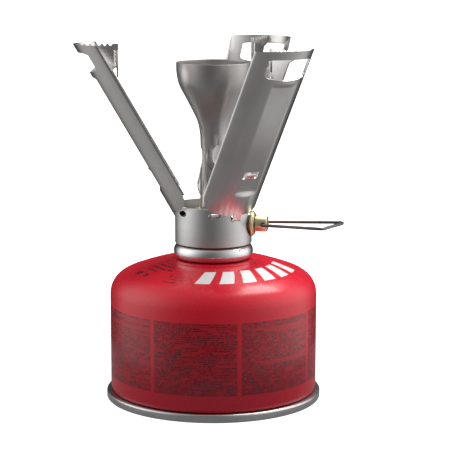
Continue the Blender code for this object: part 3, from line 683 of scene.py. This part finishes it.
def support(key, azimuth):
    place = at_hinge(azimuth, OPEN_TILT)
    sheet = metal(f"satin_sheet_{key}", (0.6, 0.583, 0.57), (0.73, 0.712, 0.7), 0.23, grain=(1100.0, 1100.0, 45.0), blotch=45.0, spot=0.12, frame=place)
    flat = math.degrees(math.acos((SHELL_R - FACET_DEPTH) / SHELL_R))
    angles = sorted({round(SHELL_HALF * i / 22, 4) * s for i in range(23) for s in (-1, 1)} | {flat, -flat})
    angles = [a for a in angles if not (abs(abs(a) - flat) < 1.2 and abs(abs(a) - flat) > 1e-6)]

    def rounded(corner, before, after, reach):
        """Points of a soft corner, from a step before it to a step after it."""
        first = (corner[0] + before[0] * reach, corner[1] + before[1] * reach)
        last = (corner[0] + after[0] * reach, corner[1] + after[1] * reach)
        out = []
        for k in range(7):
            t = k / 6
            out.append(tuple((1 - t) ** 2 * f + 2 * t * (1 - t) * c + t * t * e for f, c, e in zip(first, corner, last)))
        return out

    def section(radius, facet, side):
        edge = SHELL_R * math.sin(math.radians(SHELL_HALF)) - side
        turn = math.asin(edge / radius)
        lip_x = SHELL_R * math.cos(math.radians(SHELL_HALF)) - LIP
        back = 0.42
        last = math.degrees(turn) - math.degrees(back / radius)
        corner = (radius * math.cos(turn), edge)
        lip = rounded(corner, (math.sin(turn), -math.cos(turn)), (-1.0, 0.0), back)
        end = (lip_x if side else lip_x + 0.2, edge)
        points = [(end[0], -edge)] + [(x, -y) for x, y in lip[::-1]]
        for a in angles:
            a = max(-last, min(last, a))
            x, y = radius * math.cos(math.radians(a)), radius * math.sin(math.radians(a))
            if abs(a) <= flat + 1e-3:
                x += (SHELL_R - FACET_DEPTH - side - x) * facet
            points.append((x, y))
        return points + lip + [end]

    stations = [(SHELL_LOW - HINGE_Z, 0.0)]
    ease = lambda t: t * t * (3 - 2 * t)
    for k in range(7):
        stations.append((FACET_LOW - FACET_FADE * (1 - k / 6) - HINGE_Z, ease(k / 6)))
    for k in range(1, 8):
        stations.append((FACET_LOW + (FACET_HIGH - FACET_LOW) * k / 8 - HINGE_Z, 1.0))
    for k in range(7):
        stations.append((FACET_HIGH + FACET_FADE * k / 6 - HINGE_Z, ease(1 - k / 6)))
    stations.append((None, 0.0))
    bm = bmesh.new()
    loops = []
    for z, facet in stations:
        outer = section(SHELL_R - 0.05, facet, 0.0)
        inner = section(SHELL_R - SHELL_T, facet, SHELL_T)
        loops.append([bm.verts.new((x - HINGE_R, y, leg_top(x - HINGE_R) if z is None else z)) for x, y in outer + inner[::-1]])
    count = len(loops[0])
    for lower, upper in zip(loops, loops[1:]):
        for i in range(count):
            j = (i + 1) % count
            bm.faces.new((lower[i], lower[j], upper[j], upper[i]))
    half = count // 2
    for loop in (loops[0], loops[-1]):
        for i in range(half - 1):
            bm.faces.new((loop[i], loop[i + 1], loop[count - 2 - i], loop[count - 1 - i]))
    leg = finish_mesh(f"formed_leg_{key}", bm, sheet, place, 25.0)

    tools = []
    trim = [(-9.0, -2.0), (2.4, -2.0)] + smooth([(2.4, 1.0), (1.0, 1.95), (-0.2, 2.1), (-1.0, 2.4), (-1.6, 2.9), (-2.3, 3.6), (-3.2, 5.0), (-3.7, 6.4), (-3.85, 7.4)], 3) + [(-9.0, 7.4)]
    for side in (-1, 1):
        low, high = sorted((side * 7.9, side * 20.0))
        tools.append((prism(f"t_corner_{key}_{side}", trim, low, high, None, matrix=place), "DIFFERENCE"))
    bottom, radius, tight, w = WINDOW_LOW - HINGE_Z, 1.8, 0.8, WINDOW_HALF

    def upper(y):
        return leg_top(math.sqrt(SHELL_R**2 - y * y) - HINGE_R) - TOP_BAR

    corner = upper(w)
    outline = arc(-w + radius, bottom + radius, radius, 180, 270, 10)
    outline += arc(w - radius, bottom + radius, radius, 270, 360, 10)
    outline += arc(w - tight, corner - tight + 0.1, tight, 0, 70, 6)
    outline += [(y, upper(y)) for y in (8.2, 6.8, 5.4, 4.0, 2.7, 1.3, 0.0, -1.3, -2.7, -4.0, -5.4, -6.8, -8.2)]
    outline += arc(-w + tight, corner - tight + 0.1, tight, 110, 180, 6)
    tools.append((prism(f"t_window_{key}", outline, -2.0, 6.0, None, "YZ", place), "DIFFERENCE"))
    z = 101.5 - HINGE_Z
    tools.append((prism(f"t_lance_{key}", [(-3.5, z - 1.6), (3.5, z - 1.6), (3.5, z + 1.6), (-3.5, z + 1.6)], 0.5, 4.0, None, "YZ", place), "DIFFERENCE"))
    back = SHELL_R - FACET_DEPTH - HINGE_R
    tongue = [(back - SHELL_T + 0.05, z - 2.4), (back - 0.05, z - 2.4), (back - 0.05, z - 1.5), (back + 0.45, z + 0.4), (back + 0.05, z + 0.6), (back - SHELL_T + 0.05, z - 1.3)]
    tools.append((prism(f"t_tongue_{key}", tongue, -2.2, 2.2, None, matrix=place), "UNION"))
    end = SHELL_R - HINGE_R - 0.05
    knuckle = [(end, 2.6), (end, -0.35), (end - 0.3, -0.55)] + arc(0, 0, 1.8, -20, -320, 36)
    wall = SHELL_R - SHELL_T - HINGE_R
    knuckle += [(wall - 0.3, 0.75), (wall + 0.05, 1.0), (wall + 0.05, 2.6)]
    tools.append((prism(f"t_knuckle_{key}", knuckle, -2.0, 2.0, None, matrix=place), "UNION"))
    tools.append((rod(f"t_bore_{key}", PIN_R + GAP, -4, 4, 28, place @ Matrix.Rotation(math.radians(-90), 4, "X")), "DIFFERENCE"))
    shape(leg, tools)
    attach(leg, f"support_{key}")
    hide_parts(f"pot_support_{key}")

    inner_u, top = 39.2, OPEN_TOP - 0.05
    points = [open_to_leg(inner_u, top)]
    u = 41.4
    points.append(open_to_leg(u, top))
    web = SHELL_R - SHELL_T - HINGE_R - GAP
    while open_to_leg(u + TOOTH_PITCH, top)[0] <= web - 0.4:
        for a, b in ((0.25, 0.25), (0.45, 0.6), (0.75, TOOTH_DEPTH), (1.15, TOOTH_DEPTH), (1.45, 0.6), (1.65, 0.25), (1.9, 0.0), (TOOTH_PITCH, 0.0)):
            points.append(open_to_leg(u + a, top - b))
        u += TOOTH_PITCH
    points += [(web, leg_top(web) - 0.05), (web, leg_top(web) - 4.0), (0.7, leg_top(0.7) - 5.4), (0.6, 66.6)]
    points += [open_to_leg(44.9, 134.7), open_to_leg(40.4, 139.5), open_to_leg(39.95, 139.2), open_to_leg(39.9, 135.5), open_to_leg(inner_u, 135.5)]
    blade = prism(f"serrated_blade_{key}", points, -BLADE_T / 2, BLADE_T / 2, sheet, matrix=place)
    top_z = leg_top(web)
    tab = prism(f"t_tab_{key}", [(web - 0.6, top_z - 3.6), (web, top_z - 3.6), (web, top_z - 1.1), (web - 0.6, top_z - 1.45)], 0.1, 2.6, None, matrix=place)
    hem = rod(f"t_hem_{key}", HEM_R, HEM_LOW, HEM_TOP, 32, Matrix.Rotation(math.radians(azimuth), 4, "Z") @ Matrix.Translation((HEM_AT * MM, 0, 0)))
    shape(blade, [(tab, "UNION"), (hem, "UNION")])
    bevelled(blade, 0.07)
    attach(blade, f"support_{key}")
    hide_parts(f"support_blade_{key}")

    across = at_hinge(azimuth) @ Matrix.Rotation(math.radians(-90), 4, "X")
    pin = turned(
        f"domed_pin_{key}",
        [(0, -PIN_OUT)] + [(1.0 * math.sin(math.radians(d)), -PIN_OUT + 1.0 - 1.0 * math.cos(math.radians(d))) for d in (15, 30, 45, 60, 75, 90)] + [(PIN_R, PIN_IN - 0.2), (0.8, PIN_IN), (0, PIN_IN)],
        pin_steel_painted_shade(f"pin_steel_painted_shade_{key}", across), 32, closed=False, matrix=across,
    )
    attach(pin, "stove")
    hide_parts(f"hinge_pin_{key}")


canister()
stove_cup()
control_valve()
burner()
for key, azimuth in SUPPORTS.items():
    support(key, azimuth)

# CAD nodes that stay: all of them sit inside, in the finish of their slot.
for names, material in (
    (("valve_body", "depressor_pin", "jet", "canister_valve_stem"), BRASS),
    (("connector_seal", "spindle_seal", "canister_valve_gasket"), RUBBER),
    (("canister_valve_housing",), PLASTIC),
    (("canister_valve_spring",), SPRING),
    (("jet_filter",), SHEET),
):
    for name in names:
        node = frame["nodes"][name]
        node.data.materials.clear()
        node.data.materials.append(material)

# -------------------------------------------------------------------- stage
bm = bmesh.new()
bmesh.ops.create_grid(bm, x_segments=1, y_segments=1, size=20.0)
ground = bpy.data.meshes.new("studio_floor")
bm.to_mesh(ground)
bm.free()
s = Shader("pale_floor", (0.86, 0.86, 0.86), 0.6, 0.0)
s.set("Base Color", s.mix(s.noise(3.0, 2.0), (0.85, 0.85, 0.85), (0.88, 0.88, 0.88)))
s.p.inputs["Emission Color"].default_value = (1, 1, 1, 1)
s.p.inputs["Emission Strength"].default_value = 1.0
s.p.inputs["Specular IOR Level"].default_value = 0.1
floor = link("studio_floor", ground, s.mat, Matrix.Translation((0, 0, -0.0001)))
floor.visible_glossy = False
floor.visible_diffuse = False

# A dark card under the object, glowing faintly as a dim light from below, which only its reflections and bounce light
# see.
card_shape = bmesh.new()
bmesh.ops.create_circle(card_shape, cap_ends=True, segments=96, radius=0.12)
card_mesh = bpy.data.meshes.new("dark_card")
card_shape.to_mesh(card_mesh)
card_shape.free()
s = Shader("dark_card", (0.05, 0.05, 0.05), 0.8, 0.0)
s.set("Base Color", s.mix(s.noise(20.0, 2.0), (0.04, 0.04, 0.04), (0.06, 0.06, 0.06)))
s.p.inputs["Emission Color"].default_value = (1, 1, 1, 1)
s.p.inputs["Emission Strength"].default_value = 0.2
card = link("dark_card", card_mesh, s.mat, Matrix.Translation((0, 0, -0.0004)))
card.visible_camera = False
card.visible_shadow = False

world = bpy.data.worlds.new("studio")
world.use_nodes = True
bpy.context.scene.world = world
tree = world.node_tree
tree.nodes.clear()
out = tree.nodes.new("ShaderNodeOutputWorld")
background = tree.nodes.new("ShaderNodeBackground")
tree.links.new(background.outputs[0], out.inputs[0])
coord = tree.nodes.new("ShaderNodeTexCoord")
split = tree.nodes.new("ShaderNodeSeparateXYZ")
tree.links.new(coord.outputs["Generated"], split.inputs[0])


def wmath(op, a, b=None, clamp=False):
    node = tree.nodes.new("ShaderNodeMath")
    node.operation = op
    node.use_clamp = clamp
    for i, v in enumerate((a, b)):
        if isinstance(v, bpy.types.NodeSocket):
            tree.links.new(v, node.inputs[i])
        elif v is not None:
            node.inputs[i].default_value = v
    return node.outputs[0]


def wrange(value, a, b, low, high):
    node = tree.nodes.new("ShaderNodeMapRange")
    node.interpolation_type = "SMOOTHSTEP"
    tree.links.new(value, node.inputs[0])
    node.inputs[1].default_value, node.inputs[2].default_value = a, b
    node.inputs[3].default_value, node.inputs[4].default_value = low, high
    return node.outputs[0]


def lobe(azimuth, elevation, tightness, strength):
    """A soft light as seen from the object; azimuth is measured from the front."""
    a, e = math.radians(azimuth), math.radians(elevation)
    centre = (math.sin(a) * math.cos(e), -math.cos(a) * math.cos(e), math.sin(e))
    node = tree.nodes.new("ShaderNodeVectorMath")
    node.operation = "DOT_PRODUCT"
    tree.links.new(coord.outputs["Generated"], node.inputs[0])
    node.inputs[1].default_value = centre
    near = wmath("MULTIPLY", wmath("SUBTRACT", node.outputs["Value"], 1.0), tightness)
    return wmath("MULTIPLY", wmath("EXPONENT", near), strength)


sides = wmath("ADD", lobe(-93, 18, 4.2, 2.2), lobe(99, 18, 2.8, 2.1))
sides = wmath("ADD", sides, lobe(45, 0, 5.0, 0.14))
sides = wmath("MULTIPLY", sides, wrange(split.outputs["Y"], 0.4, 0.85, 1.0, 0.05))
below = wrange(split.outputs["Z"], -0.1, -0.9, 0.0, 0.2)
above = wrange(split.outputs["Z"], 0.6, 0.98, 0.0, 0.1)
glow = wmath("ADD", wmath("ADD", sides, 0.04), wmath("ADD", below, above))
path = tree.nodes.new("ShaderNodeLightPath")
pick = tree.nodes.new("ShaderNodeMix")
tree.links.new(path.outputs["Is Camera Ray"], pick.inputs[0])
tree.links.new(glow, pick.inputs[2])
pick.inputs[3].default_value = 1.1
tree.links.new(pick.outputs[0], background.inputs["Strength"])


def softbox(name, place, aim, size, power):
    data = bpy.data.lights.new(name, "AREA")
    data.shape = "RECTANGLE"
    data.size, data.size_y = size
    data.energy = power
    obj = bpy.data.objects.new(name, data)
    bpy.context.scene.collection.objects.link(obj)
    obj.location = place
    obj.rotation_euler = (Vector(aim) - Vector(place)).to_track_quat("-Z", "Y").to_euler()
    return obj


softbox("top_box", (0.3, 0.25, 0.9), (0, 0, 0.06), (0.6, 0.6), 8.8)

data = bpy.data.cameras.new("camera")
data.sensor_width = 36.0
data.lens = 1757.0 / 450.0 * 36.0
data.shift_x = (225.0 - 213.4) / 450.0
data.clip_start = 0.05
camera = bpy.data.objects.new("camera", data)
bpy.context.scene.collection.objects.link(camera)
camera.location = (0.0, -0.726, 0.1993)
camera.rotation_euler = (math.radians(90 - 9.86), 0, 0)
bpy.context.scene.camera = camera
bpy.context.scene.view_settings.view_transform = "Standard"
